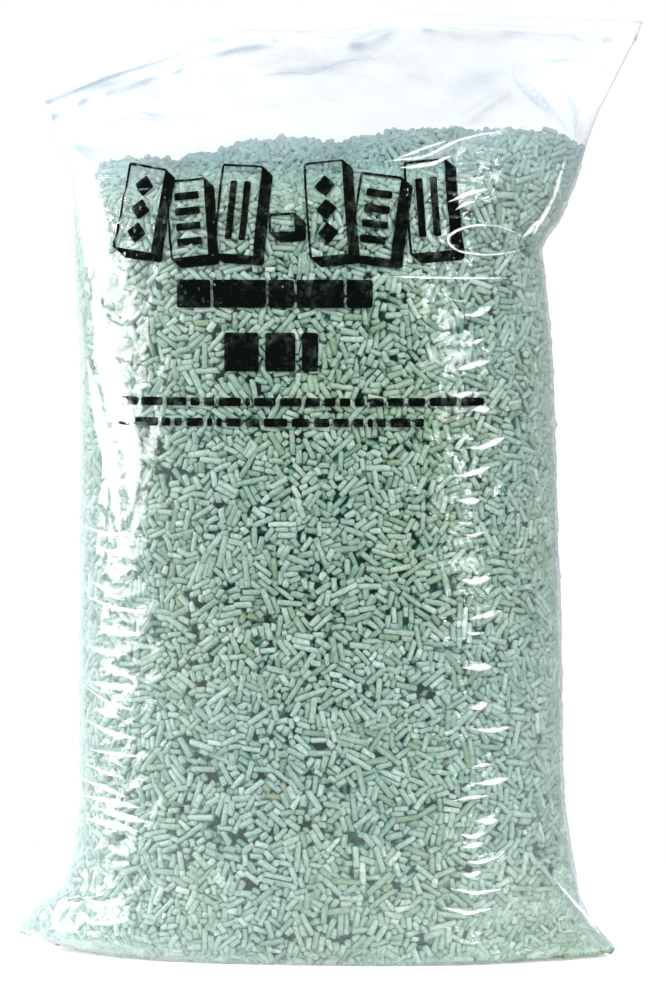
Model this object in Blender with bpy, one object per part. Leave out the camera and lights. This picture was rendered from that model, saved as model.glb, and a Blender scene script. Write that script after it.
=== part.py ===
"""A clear film bag of litter pellets, standing on its base.

Metres, +Z up. +X runs along the two welds, and the front of the bag faces -Y. The origin is the
centre of the flat base. The bag is one piece of blown film: a lay-flat tube, welded across the bottom,
which folds under the base and leaves an ear at each side, and welded across the top. Inside it stands
the packed fill, with single pellets lying on top.
"""

import math
import random
from collections import namedtuple

import bmesh
import bpy
import numpy as np
from mathutils import Vector
from mathutils.bvhtree import BVHTree

SHOULDER_HEIGHT = 0.600  # below it every section is level, above it they tilt up to the top weld
WELD_STRIP = 0.012
FILM_WALL = 0.00015
WELD_HALF = 0.00015  # half of the welded strip's thickness, which is two films
FILM_TO_FILL = 0.0006  # from the film's outer face: its wall and a gap
AROUND = 44  # facets round a section, a multiple of 4
VENT_INSET = 0.0070  # how far the vent's edge is from the edges of the facet it is cut in
VENT_PLACE = (0.100, 0.060, 0.745)  # on the back of the head, above the fill

# A section's left, right and depth are its half sizes. Fullness 2 and edge 0.5 give an ellipse; an edge
# of 1 gives it pointed ends.
Section = namedtuple("Section", "rise left right depth fullness edge")

BODY_SECTIONS = [  # rise is the height of the level section
    Section(0.000, 0.205, 0.205, 0.106, 2.40, 0.60),
    Section(0.006, 0.240, 0.261, 0.113, 2.80, 0.95),
    Section(0.016, 0.264, 0.250, 0.119, 2.80, 0.95),
    Section(0.032, 0.254, 0.234, 0.122, 2.70, 0.85),
    Section(0.050, 0.229, 0.227, 0.124, 2.40, 0.65),
    Section(0.080, 0.217, 0.221, 0.125, 2.20, 0.52),
    Section(0.135, 0.208, 0.212, 0.126, 2.15, 0.50),
    Section(0.260, 0.209, 0.210, 0.126, 2.15, 0.50),
    Section(0.400, 0.207, 0.206, 0.127, 2.15, 0.50),
    Section(0.520, 0.207, 0.202, 0.127, 2.15, 0.50),
]
HEAD_SECTIONS = [  # rise is the share of the way from the shoulder to the top weld
    Section(0.00, 0.212, 0.195, 0.127, 2.15, 0.50),
    Section(0.08, 0.213, 0.196, 0.127, 2.15, 0.50),
    Section(0.20, 0.213, 0.209, 0.122, 2.15, 0.50),
    Section(0.35, 0.214, 0.222, 0.114, 2.10, 0.52),
    Section(0.50, 0.217, 0.231, 0.100, 2.10, 0.55),
    Section(0.66, 0.221, 0.242, 0.076, 2.00, 0.65),
    Section(0.82, 0.230, 0.258, 0.044, 2.00, 0.85),
    Section(1.00, 0.236, 0.276, WELD_HALF, 2.00, 0.70),
]
WELD_TOP = Section(1.00, 0.239, 0.281, WELD_HALF, 2.00, 0.70)
FILL_SECTIONS = 5  # how many head sections the fill reaches up

# The top edge of the bag, left to right: the left corner droops.
TOP_EDGE = [
    (-0.239, 0.739),
    (-0.185, 0.762),
    (-0.128, 0.779),
    (-0.070, 0.801),
    (0.010, 0.801),
    (0.070, 0.815),
    (0.190, 0.811),
    (0.281, 0.807),
]
WELD_WAVE = 0.007
WELD_WAVE_LENGTH = 0.190

HEAP_RINGS = (0.90, 0.76, 0.58, 0.38, 0.18)  # each ring's size, as a share of the fill's rim
HEAP_RISE = 0.012
HEAP_LUMP = 0.0035

PELLET_RADIUS = 0.003
PELLET_LENGTHS = (0.011, 0.021)
PELLET_SIDES = 8
PELLET_GAP = 0.0003
PELLET_BEVEL = 0.0006
PELLET_COLUMNS = 12
PELLET_ROWS = 4
PELLET_REACH = (0.140, 0.042)  # half the length and width of the area that loose pellets lie on
PELLET_JITTER = 0.0015
SEED = 55


def smooth(name, mesh, material, angle=math.radians(40)):
    """A new object with this mesh, shaded smooth except over sharp edges."""
    mesh.materials.append(material)
    mesh.shade_smooth()
    mesh.set_sharp_from_angle(angle=angle)
    body = bpy.data.objects.new(name, mesh)
    bpy.context.scene.collection.objects.link(body)
    return body


def plain_material(name, colour, roughness, alpha=1.0):
    material = bpy.data.materials.new(name)
    material.use_nodes = True
    shader = material.node_tree.nodes["Principled BSDF"]
    shader.inputs["Base Color"].default_value = (*colour, 1.0)
    shader.inputs["Roughness"].default_value = roughness
    shader.inputs["Metallic"].default_value = 0.0
    shader.inputs["Alpha"].default_value = alpha
    return material


def top_edge(x):
    xs, zs = zip(*TOP_EDGE)
    return float(np.interp(x, xs, zs))


def head_height(x, share):
    """The height at x of the tilted section that lies this share of the way up the head."""
    return SHOULDER_HEIGHT + (top_edge(x) - WELD_STRIP - SHOULDER_HEIGHT) * share


def weld_wave(x, share):
    """How far the film wanders from the middle plane, which grows towards the top weld."""
    return WELD_WAVE * math.sin(2 * math.pi * x / WELD_WAVE_LENGTH + 0.6) * share**2


def outline(section):
    """The x and y of the points round a section, starting at its right end."""
    middle = (section.right - section.left) / 2
    half = (section.right + section.left) / 2
    for i in range(AROUND):
        angle = 2 * math.pi * i / AROUND
        c, s = math.cos(angle), math.sin(angle)
        x = math.copysign(abs(c) ** (2 / section.fullness), c) * half + middle
        y = -math.copysign(abs(s) ** (2 * section.edge), s) * section.depth
        yield x, y


def body_ring(section):
    return [Vector((x, y, section.rise)) for x, y in outline(section)]


def head_ring(section, lift=0.0):
    share = section.rise
    return [
        Vector((x, y + weld_wave(x, share), head_height(x, share) + lift))
        for x, y in outline(section)
    ]


def start_base(mesh, ring):
    """A flat face with its corners at these places, and its rim."""
    made = bmesh.ops.create_circle(mesh, cap_ends=True, segments=len(ring), radius=1.0)
    rim = made["verts"]
    for vertex, place in zip(rim, ring):
        vertex.co = place
    return rim


def raise_rim(mesh, rim, ring):
    """Extrudes an open rim, puts the new vertices at the ring's places, and returns the new rim."""
    edges = [mesh.edges.get(pair) for pair in zip(rim, rim[1:] + rim[:1])]
    made = set(bmesh.ops.extrude_edge_only(mesh, edges=edges)["geom"])
    new_rim = []
    for vertex, place in zip(rim, ring):
        above = next(o for o in (e.other_vert(vertex) for e in vertex.link_edges) if o in made)
        above.co = place
        new_rim.append(above)
    return new_rim


def face_out(mesh, faces):
    """Turns these faces to point out of the bag, by its base, which faces down."""
    bmesh.ops.recalc_face_normals(mesh, faces=faces)
    if min(faces, key=lambda f: f.calc_center_median().z).normal.z > 0:
        bmesh.ops.reverse_faces(mesh, faces=faces)


def pillow(mesh, head_sections):
    """The bag's outer face, from its base to the last of these sections, left open. Returns its rim."""
    rings = [body_ring(s) for s in BODY_SECTIONS] + [head_ring(s) for s in head_sections]
    rim = start_base(mesh, rings[0])
    for ring in rings[1:]:
        rim = raise_rim(mesh, rim, ring)
    face_out(mesh, mesh.faces[:])
    bmesh.ops.triangulate(mesh, faces=mesh.faces, quad_method="FIXED")
    mesh.normal_update()
    return rim


def move_in(vertices, distance):
    """Moves vertices against their normals."""
    places = [v.co - v.normal * distance for v in vertices]
    for vertex, place in zip(vertices, places):
        vertex.co = place


def close_flat_rim(mesh, rim):
    """Closes a long thin rim with faces from its front side to its back side."""
    half = len(rim) // 2
    for i in range(half):
        corners = [rim[i], rim[i + 1], rim[-i - 1], rim[-i]]
        mesh.faces.new(list(dict.fromkeys(corners)))


def make_film():
    """The bag: an outer and an inner face a wall apart, the welded strip, and a vent hole."""
    mesh = bmesh.new()
    rim = pillow(mesh, HEAD_SECTIONS)
    place = Vector(VENT_PLACE)
    vent = min(mesh.faces, key=lambda f: (f.calc_center_median() - place).length)

    copy = bmesh.ops.duplicate(mesh, geom=mesh.verts[:] + mesh.edges[:] + mesh.faces[:])
    inner = [g for g in copy["geom"] if isinstance(g, bmesh.types.BMVert)]
    inner_faces = [g for g in copy["geom"] if isinstance(g, bmesh.types.BMFace)]
    inner_rim = [copy["vert_map"][v] for v in rim]
    inner_vent = copy["face_map"][vent]
    move_in(inner, FILM_WALL)
    for vertex in inner_rim:  # the two films meet in a line just under the weld
        vertex.co.y = weld_wave(vertex.co.x, 1.0)
        vertex.co.z -= FILM_WALL
    for i in range(1, AROUND // 2):
        inner_rim[-i].co = inner_rim[i].co
    bmesh.ops.reverse_faces(mesh, faces=inner_faces)
    cut_vent(mesh, vent, inner_vent)
    bmesh.ops.remove_doubles(mesh, verts=inner_rim, dist=1e-6)

    rim = raise_rim(mesh, rim, head_ring(WELD_TOP, lift=WELD_STRIP))
    close_flat_rim(mesh, rim)
    bmesh.ops.triangulate(mesh, faces=mesh.faces, quad_method="FIXED")
    face_out(mesh, mesh.faces[:])

    data = bpy.data.meshes.new("film_bag")
    mesh.to_mesh(data)
    mesh.free()
    return smooth("film_bag", data, plain_material("clear_film", (0.80, 0.87, 0.89), 0.12, 0.30))


def cut_vent(mesh, outer, inner):
    """Opens a small hole through both faces of the film, one in each of these two facing triangles."""
    bmesh.ops.inset_individual(mesh, faces=[outer, inner], thickness=VENT_INSET)
    edges = [*outer.edges, *inner.edges]
    bmesh.ops.delete(mesh, geom=[outer, inner], context="FACES_ONLY")
    bmesh.ops.bridge_loops(mesh, edges=edges)


def make_fill():
    """The packed pellets as one solid: the bag's inside, with a lumpy heap for a top."""
    draws = random.Random(SEED)
    mesh = bmesh.new()
    rim = pillow(mesh, HEAD_SECTIONS[:FILL_SECTIONS])
    move_in(mesh.verts[:], FILM_TO_FILL)
    middle = sum((v.co for v in rim), Vector()) / len(rim)
    rim_places = [v.co.copy() for v in rim]
    for share in HEAP_RINGS:
        rise = HEAP_RISE * (1 - share**2)
        ring = []
        for place in rim_places:
            point = middle.lerp(place, share)
            point.z = place.z * share + middle.z * (1 - share) + rise
            point.z += draws.uniform(-HEAP_LUMP, HEAP_LUMP)
            ring.append(point)
        rim = raise_rim(mesh, rim, ring)
    bmesh.ops.contextual_create(mesh, geom=rim)
    bmesh.ops.triangulate(mesh, faces=mesh.faces)
    face_out(mesh, mesh.faces[:])

    data = bpy.data.meshes.new("pellet_fill")
    mesh.to_mesh(data)
    mesh.free()
    return smooth("pellet_fill", data, plain_material("pellets", (0.29, 0.40, 0.33), 0.9))


def pellet_mesh(name, length, material):
    """One extruded pellet, lying along X, with slightly worn ends."""
    mesh = bmesh.new()
    bmesh.ops.create_cone(
        mesh,
        cap_ends=True,
        segments=PELLET_SIDES,
        radius1=PELLET_RADIUS,
        radius2=PELLET_RADIUS,
        depth=length,
    )
    rims = [e for e in mesh.edges if abs(e.verts[0].co.z - e.verts[1].co.z) < length / 2]
    bmesh.ops.bevel(
        mesh,
        geom=rims,
        offset=PELLET_BEVEL,
        offset_type="OFFSET",
        segments=1,
        profile=0.5,
        affect="EDGES",
        material=-1,
    )
    bmesh.ops.triangulate(mesh, faces=mesh.faces)
    data = bpy.data.meshes.new(name)
    mesh.to_mesh(data)
    mesh.free()
    return data


def make_loose_pellets(fill):
    """Single pellets lying on the heap, spread over its top so that none touches another."""
    draws = random.Random(SEED + 1)
    graph = bpy.context.evaluated_depsgraph_get()
    heap = BVHTree.FromObject(fill, graph)
    material = plain_material("loose_pellets", (0.42, 0.52, 0.46), 0.9)
    centre_x = (HEAD_SECTIONS[FILL_SECTIONS].right - HEAD_SECTIONS[FILL_SECTIONS].left) / 2
    pitch_x = 2 * PELLET_REACH[0] / (PELLET_COLUMNS - 1)
    pitch_y = 2 * PELLET_REACH[1] / (PELLET_ROWS - 1)
    above = PELLET_RADIUS + PELLET_GAP
    for number in range(PELLET_COLUMNS * PELLET_ROWS):
        column, row = divmod(number, PELLET_ROWS)
        length = draws.uniform(*PELLET_LENGTHS)
        x = centre_x - PELLET_REACH[0] + column * pitch_x + draws.uniform(-1, 1) * PELLET_JITTER
        y = -PELLET_REACH[1] + row * pitch_y + draws.uniform(-1, 1) * PELLET_JITTER
        turn = draws.uniform(0, math.pi)
        along = Vector((math.cos(turn), math.sin(turn), 0.0))
        ends = []
        for side in (-0.5, 0.5):
            spot = Vector((x, y, 1.0)) + along * length * side
            ends.append(heap.ray_cast(spot, Vector((0, 0, -1)))[0])
        axis = (ends[1] - ends[0]).normalized()
        centre = (ends[0] + ends[1]) / 2
        steps = [axis * length * (k / 8 - 0.5) for k in range(9)]
        for _ in range(20):  # lift it until all of its length is clear of the heap
            lack = above - min(clearance(heap, centre + step) for step in steps)
            if lack <= 0:
                break
            centre.z += lack + 1e-5
        name = f"loose_pellet_{number + 1:02d}"
        pellet = smooth(name, pellet_mesh(name, length, material), material)
        pellet.location = centre
        pellet.rotation_mode = "QUATERNION"
        pellet.rotation_quaternion = axis.to_track_quat("Z", "Y")


def clearance(heap, point):
    """The distance from a point to the heap, negative below its surface."""
    place, normal, _, distance = heap.find_nearest(point)
    return math.copysign(distance, (point - place).dot(normal))


def main():
    for thing in list(bpy.data.objects):
        bpy.data.objects.remove(thing)
    make_film()
    fill = make_fill()
    bpy.context.view_layer.update()
    make_loose_pellets(fill)


main()
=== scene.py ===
"""The looks of a clear film bag of litter pellets, built round its packed construction model.

Metres, +Z up, +X along the welds, and the printed front faces -Y, as in the model's own frame.
"""

import math

import bmesh
import bpy
import numpy as np
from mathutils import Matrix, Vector


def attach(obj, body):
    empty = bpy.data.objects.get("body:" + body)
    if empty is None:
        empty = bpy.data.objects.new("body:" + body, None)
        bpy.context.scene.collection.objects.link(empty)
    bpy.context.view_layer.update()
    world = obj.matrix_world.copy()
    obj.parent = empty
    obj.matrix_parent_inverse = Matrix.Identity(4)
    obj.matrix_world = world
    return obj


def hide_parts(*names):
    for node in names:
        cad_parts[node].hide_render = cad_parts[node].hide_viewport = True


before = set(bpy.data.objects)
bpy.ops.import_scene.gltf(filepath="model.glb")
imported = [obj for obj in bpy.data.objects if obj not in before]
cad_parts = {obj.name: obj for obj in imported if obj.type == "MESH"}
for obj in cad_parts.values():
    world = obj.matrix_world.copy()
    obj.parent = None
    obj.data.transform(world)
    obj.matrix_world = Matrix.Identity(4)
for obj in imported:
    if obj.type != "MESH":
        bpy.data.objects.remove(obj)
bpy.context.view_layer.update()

bl_info = {
    "name": "Litter bag",
    "version": (1, 0, 0),
    "blender": (4, 5, 0),
    "location": "View3D > Sidebar > Litter bag",
    "description": "Builds a clear film bag of litter pellets, and a plain studio round it",
    "category": "Object",
}

# ---------------------------------------------------------------- the shape of the bag

SHOULDER = 0.600  # below it the bag's sections are level, above it they tilt up to the top weld
HEAD_SPAN = 0.190  # how much of the level coordinate the head takes
STRIP = 0.012
WELD_HALF = 0.00025
LEVEL_STEP = 0.001
LEVEL_BLUR = 0.007

# A section's left, right and depth are half sizes. Fullness 2 and edge 0.5 give an ellipse; an edge
# of 1 gives it pointed ends. Each row: level, left, right, depth, fullness, edge.
SECTIONS = [
    (0.000, 0.205, 0.205, 0.106, 2.40, 0.60),
    (0.006, 0.240, 0.259, 0.113, 2.80, 0.95),
    (0.016, 0.264, 0.251, 0.119, 2.80, 0.95),
    (0.032, 0.256, 0.235, 0.122, 2.70, 0.85),
    (0.050, 0.229, 0.227, 0.124, 2.40, 0.65),
    (0.080, 0.217, 0.221, 0.125, 2.20, 0.52),
    (0.135, 0.208, 0.212, 0.126, 2.15, 0.50),
    (0.260, 0.209, 0.210, 0.126, 2.15, 0.50),
    (0.400, 0.207, 0.206, 0.127, 2.15, 0.50),
    (0.520, 0.207, 0.202, 0.127, 2.15, 0.50),
    (0.590, 0.212, 0.195, 0.127, 2.15, 0.50),
    (0.612, 0.213, 0.192, 0.127, 2.15, 0.50),
    (0.638, 0.213, 0.209, 0.122, 2.15, 0.50),
    (0.6665, 0.214, 0.222, 0.114, 2.10, 0.52),
    (0.695, 0.217, 0.231, 0.100, 2.10, 0.55),
    (0.7254, 0.221, 0.242, 0.076, 2.00, 0.65),
    (0.7558, 0.230, 0.258, 0.044, 2.00, 0.85),
    (0.790, 0.236, 0.276, WELD_HALF, 2.00, 0.70),
    (0.802, 0.239, 0.281, WELD_HALF, 2.00, 0.70),
]
TOP_LEVEL = SECTIONS[-1][0]
WELD_LEVEL = SECTIONS[-2][0]

# The bag's top edge, left to right: x and height. The left corner droops.
TOP_EDGE = [
    (-0.239, 0.739),
    (-0.185, 0.762),
    (-0.128, 0.779),
    (-0.100, 0.793),
    (-0.070, 0.801),
    (0.010, 0.799),
    (0.040, 0.804),
    (0.070, 0.815),
    (0.190, 0.811),
    (0.281, 0.807),
]
WELD_WAVE = 0.007
WELD_WAVE_LENGTH = 0.190


def blurred(values, radius):
    """Values along a line, smoothed, with the ends held."""
    count = max(1, round(radius))
    kernel = np.hanning(2 * count + 3)[1:-1]
    padded = np.pad(values, count, mode="edge")
    return np.convolve(padded, kernel / kernel.sum(), mode="valid")


def section_table():
    """The section's five numbers at each level, smoothed, but sharp at base and weld."""
    rows = np.array(SECTIONS)
    level = np.arange(0.0, TOP_LEVEL + LEVEL_STEP / 2, LEVEL_STEP)
    columns = [np.interp(level, rows[:, 0], rows[:, k]) for k in range(1, 6)]
    soft = [blurred(c, LEVEL_BLUR / LEVEL_STEP) for c in columns]
    keep = np.clip(np.minimum(level - 0.018, WELD_LEVEL - level) / 0.012, 0, 1)
    return level, [s * keep + c * (1 - keep) for c, s in zip(columns, soft)]


LEVELS, TABLE = section_table()


def section_at(level):
    return [np.interp(level, LEVELS, column) for column in TABLE]


def smooth_edge():
    xs = np.linspace(TOP_EDGE[0][0], TOP_EDGE[-1][0], 521)
    zs = np.interp(xs, *zip(*TOP_EDGE))
    return xs, blurred(zs, 12)


EDGE_X, EDGE_Z = smooth_edge()


def weld_height(x):
    """The height of the top weld's lower edge."""
    return np.interp(x, EDGE_X, EDGE_Z) - STRIP


def height_of(x, level):
    share = np.clip((level - SHOULDER) / HEAD_SPAN, 0, 1)
    strip = np.clip(level - WELD_LEVEL, 0, None)
    tilted = SHOULDER + (weld_height(x) - SHOULDER) * share + strip
    return np.where(level <= SHOULDER, level, tilted)


def level_of(x, z):
    share = (z - SHOULDER) / (weld_height(x) - SHOULDER)
    return np.where(z <= SHOULDER, z, SHOULDER + HEAD_SPAN * share)


def weld_wave(x, level):
    share = np.clip((level - SHOULDER) / HEAD_SPAN, 0, 1)
    return WELD_WAVE * np.sin(2 * math.pi * x / WELD_WAVE_LENGTH + 0.6) * share**2


def bag_points(turn, level):
    """Points on the bag's smooth face. Turn is in radians from the right end, by the front."""
    left, right, depth, fullness, edge = section_at(level)
    middle, half = (right - left) / 2, (right + left) / 2
    c, s = np.cos(turn), np.sin(turn)
    x = np.sign(c) * np.abs(c) ** (2 / fullness) * half + middle
    y = -np.sign(s) * np.abs(s) ** (2 * edge) * depth + weld_wave(x, level)
    return np.stack([x, y, height_of(x, level)], -1)


def outside(points):
    """How far points are outside the bag's smooth face, negative inside. Good close to the face."""

    def field(p):
        x, y, z = p[..., 0], p[..., 1], p[..., 2]
        level = level_of(x, z)
        left, right, depth, fullness, edge = section_at(np.clip(level, 0, WELD_LEVEL))
        middle, half = (right - left) / 2, (right + left) / 2
        across = np.abs((x - middle) / half) ** fullness
        deep = (np.abs(y - weld_wave(x, level)) / np.maximum(depth, 1e-4)) ** (1 / edge)
        return (across + deep) ** 0.5 - 1

    step = 0.0005
    here = field(points)
    slopes = [(field(points + step * axis) - here) / step for axis in np.eye(3)]
    slope = np.stack(slopes, -1)
    steep = np.maximum(np.linalg.norm(slope, axis=-1), 1e-3)
    return here / steep, slope / steep[..., None]


# ---------------------------------------------------------------- noise and creases


def waves(points, scale, seed, count=12):
    """Smooth noise from about -1 to 1, of seeded sine waves. Scale is one length, or one an axis."""
    draws = np.random.default_rng(seed)
    way = draws.normal(size=(count, 3))
    way /= np.linalg.norm(way, axis=1, keepdims=True)
    way *= draws.uniform(0.6, 1.7, (count, 1))
    phase = draws.uniform(0, 2 * math.pi, count)
    total = np.zeros(points.shape[:-1])
    scaled = points / np.asarray(scale)
    for k in range(count):
        total += np.sin(scaled @ (way[k] * 2 * math.pi) + phase[k])
    return total / math.sqrt(count)


def rise_between(value, low, high):
    t = np.clip((value - low) / (high - low), 0, 1)
    return t * t * (3 - 2 * t)


# Creases on the front of the film. Each: its points as x and z, height of the ridge, half width.
HEAD_CREASES = [
    ([(-0.198, 0.717), (-0.175, 0.724), (-0.147, 0.724),
      (-0.127, 0.722), (-0.095, 0.729)], 0.0035, 0.006),
    ([(-0.058, 0.757), (-0.031, 0.764), (0.010, 0.769),
      (0.035, 0.777), (0.063, 0.773), (0.096, 0.780)], 0.0030, 0.005),
    ([(0.015, 0.788), (0.037, 0.795), (0.074, 0.806)], 0.0025, 0.004),
    ([(-0.045, 0.795), (-0.032, 0.789)], 0.0020, 0.004),
    ([(0.171, 0.774), (0.175, 0.754), (0.199, 0.730), (0.219, 0.708)], 0.0045, 0.007),
    ([(0.215, 0.745), (0.223, 0.732), (0.225, 0.706)], 0.0030, 0.005),
    ([(0.104, 0.741), (0.170, 0.770)], 0.0045, 0.016),
    ([(0.114, 0.715), (0.169, 0.752)], 0.0030, 0.004),
    ([(0.099, 0.687), (0.155, 0.711), (0.195, 0.727)], 0.0030, 0.004),
    ([(0.182, 0.773), (0.243, 0.776)], 0.0025, 0.004),
    ([(-0.150, 0.748), (-0.139, 0.740)], 0.0025, 0.004),
    ([(-0.220, 0.748), (-0.160, 0.760)], 0.0035, 0.010),
    ([(-0.221, 0.704), (-0.200, 0.690), (-0.185, 0.678)], 0.0035, 0.005),
    ([(-0.221, 0.704), (-0.195, 0.697), (-0.177, 0.688)], 0.0030, 0.005),
]
PINCH_CREASES = [
    ([(0.190, 0.613), (0.165, 0.634), (0.118, 0.640)], 0.0040, 0.005),
    ([(0.190, 0.611), (0.160, 0.606), (0.117, 0.617)], 0.0035, 0.005),
    ([(0.190, 0.608), (0.120, 0.590), (0.066, 0.592)], 0.0022, 0.003),
    ([(0.150, 0.567), (0.121, 0.567)], 0.0020, 0.003),
    ([(0.190, 0.615), (0.200, 0.650), (0.215, 0.690)], 0.0030, 0.006),
]
EAR_CREASES = [
    ([(-0.262, 0.016), (-0.235, 0.038), (-0.200, 0.052), (-0.180, 0.050)], 0.0045, 0.005),
    ([(-0.258, 0.012), (-0.225, 0.022), (-0.190, 0.020)], 0.0035, 0.004),
    ([(0.258, 0.008), (0.232, 0.030), (0.205, 0.060), (0.190, 0.085)], 0.0045, 0.006),
    ([(0.255, 0.006), (0.220, 0.014), (0.185, 0.022)], 0.0030, 0.004),
]


def crease(x, z, points, rise, half_width):
    """A sharp ridge along a line of points that fades out at both ends."""
    points = np.array(points)
    lengths = np.linalg.norm(np.diff(points, axis=0), axis=1)
    run = np.concatenate([[0], np.cumsum(lengths)]) / lengths.sum()
    best = np.full(x.shape, 1e9)
    share = np.zeros(x.shape)
    for a, b, start, stop in zip(points[:-1], points[1:], run[:-1], run[1:]):
        d = b - a
        t = np.clip(((x - a[0]) * d[0] + (z - a[1]) * d[1]) / (d @ d), 0, 1)
        gap = np.hypot(x - a[0] - t * d[0], z - a[1] - t * d[1])
        nearer = gap < best
        best = np.where(nearer, gap, best)
        share = np.where(nearer, start + t * (stop - start), share)
    fade = np.sin(math.pi * np.clip(share, 0.04, 0.96)) ** 0.6
    return rise * fade * np.exp(-np.abs(best) / half_width)


def pleats(points, spacing, lean, seed):
    """Short sharp cross folds, one above another."""
    x, z = points[..., 0], points[..., 2]
    bent = 0.45 * waves(points, 0.085, seed) + 0.16 * waves(points, 0.030, seed + 1)
    ridge = 1 - np.abs(np.sin(math.pi * (z / spacing + lean * x / spacing + bent)))
    strength = np.clip(0.35 + 0.8 * waves(points, (0.05, 0.05, 0.022), seed + 2), 0, 1.2)
    return ridge**2.2 * strength


LEFT_PLEATS = (0.017, -0.25, 11)
RIGHT_PLEATS = (0.015, -0.22, 21)


def from_side(x, level):
    """How far in from the nearer side of the bag a point is."""
    left, right = section_at(np.clip(level, 0, WELD_LEVEL))[:2]
    return np.minimum(x + left, right - x)


def film_rise(points):
    """How far the creased film stands off the bag's smooth face."""
    x, y, z = points[..., 0], points[..., 1], points[..., 2]
    front = rise_between(-y, 0.004, 0.030)
    back = rise_between(y, 0.004, 0.030)
    filled = 1 - rise_between(z, 0.690, 0.715)
    body = filled * rise_between(z, 0.000, 0.012)

    left = rise_between(-x, 0.110, 0.165) * (1 - 0.6 * rise_between(-x, 0.200, 0.212))
    right = rise_between(x, 0.095, 0.130) * (1 - rise_between(x, 0.165, 0.190))
    edge_right = rise_between(x, 0.165, 0.200)
    fold = front * left * 0.0026 * pleats(points, *LEFT_PLEATS)
    fold += front * right * 0.0028 * pleats(points, *RIGHT_PLEATS)
    fold += edge_right * 0.0014 * pleats(points, 0.021, 0.15, 31)
    fold += back * rise_between(np.abs(x), 0.10, 0.16) * 0.0020 * pleats(points, 0.019, 0.2, 41)
    fold += 0.0006 * (1 + waves(points, 0.030, 51)) * body
    fold += 0.00022 * waves(points, 0.009, 61) * body
    fold *= body

    head = rise_between(z, 0.675, 0.735)
    tense = 1 - rise_between(level_of(x, z), WELD_LEVEL - 0.012, WELD_LEVEL)
    slack = 0.0022 * waves(points, (0.055, 0.09, 0.040), 71) + 0.0005 * waves(points, 0.016, 72)
    inside = rise_between(from_side(x, level_of(x, z)), 0.002, 0.035)
    fold += head * (0.0015 + slack) * (0.25 + 0.75 * tense) * inside
    radial = np.abs(np.sin(x / 0.0058 + 1.3 * waves(points, 0.03, 73)))
    fold += head * 0.0010 * (1 - radial) ** 2 * rise_between(z - weld_height(x), -0.045, -0.004)

    for line in HEAD_CREASES + PINCH_CREASES + EAR_CREASES:
        fold += front * crease(x, z, *line)
    for points_of_line, rise, width in HEAD_CREASES[:8] + EAR_CREASES:
        turned = [(-0.9 * px, pz - 0.006) for px, pz in points_of_line]
        fold += back * crease(x, z, turned, rise, width)
    return fold * rise_between(TOP_LEVEL - level_of(x, z), -0.001, 0.004)


def film_grey_and_painted_shade(points):
    """How grey the film is drawn, from 0 to 1: painted shade along the head's creases, a grey band
    under the weld, grey streaks on the head, and grey at the weld and along the side edges.
    """
    x, z = points[..., 0], points[..., 2]
    grey = np.zeros(x.shape)
    # painted shade along the head's creases
    for line, _, width in HEAD_CREASES:
        grey += 0.9 * crease(x, z, line, 1.0, width * 0.8)
    under = weld_height(x) - z + 0.0025 * waves(points, (0.06, 0.2, 0.2), 91)
    band = np.exp(-(((under - 0.004) / 0.004) ** 2))
    grey += band * np.clip(0.45 + 0.6 * waves(points, (0.035, 0.2, 0.2), 92), 0, 1)
    streaks = np.clip(waves(points, (0.060, 0.2, 0.022), 93), 0, 1)
    grey += 0.12 * streaks * rise_between(z, 0.70, 0.78)
    level = level_of(x, z)
    edge = from_side(x, level)
    grey += 0.40 * (1 - rise_between(edge, 0.0, 0.006)) * rise_between(z, 0.69, 0.72)
    grey += 0.60 * rise_between(level, TOP_LEVEL - 0.0025, TOP_LEVEL)
    grey += 0.5 * (1 - rise_between(edge, 0.0, 0.006)) * (1 - rise_between(z, 0.04, 0.07))
    return np.clip(grey, 0, 1)


def film_surface(turn, level, out=0.0):
    """Points on the creased film at a grid of turns and levels, moved out by a distance."""
    points = bag_points(turn, level)
    around = bag_points(turn + 1e-4, level) - bag_points(turn - 1e-4, level)
    above = bag_points(turn, np.minimum(level + 1e-4, TOP_LEVEL))
    below = bag_points(turn, np.maximum(level - 1e-4, 0))
    normal = np.cross(above - below, around)
    size = np.linalg.norm(normal, axis=-1, keepdims=True)
    normal = normal / np.maximum(size, 1e-14)
    return points + normal * (film_rise(points) + out)[..., None]


# ---------------------------------------------------------------- shaders


class Value:
    """A socket that can be used in sums: each operation adds a Math node."""

    def __init__(self, shader, socket):
        self.shader = shader
        self.socket = socket

    def math(self, operation, a, b):
        return self.shader.node("ShaderNodeMath", {"operation": operation}, [a, b])

    def __add__(self, other):
        return self.math("ADD", self, other)

    def __mul__(self, other):
        return self.math("MULTIPLY", self, other)

    def __pow__(self, other):
        return self.math("POWER", self, other)

    __radd__ = __add__
    __rmul__ = __mul__


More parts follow.
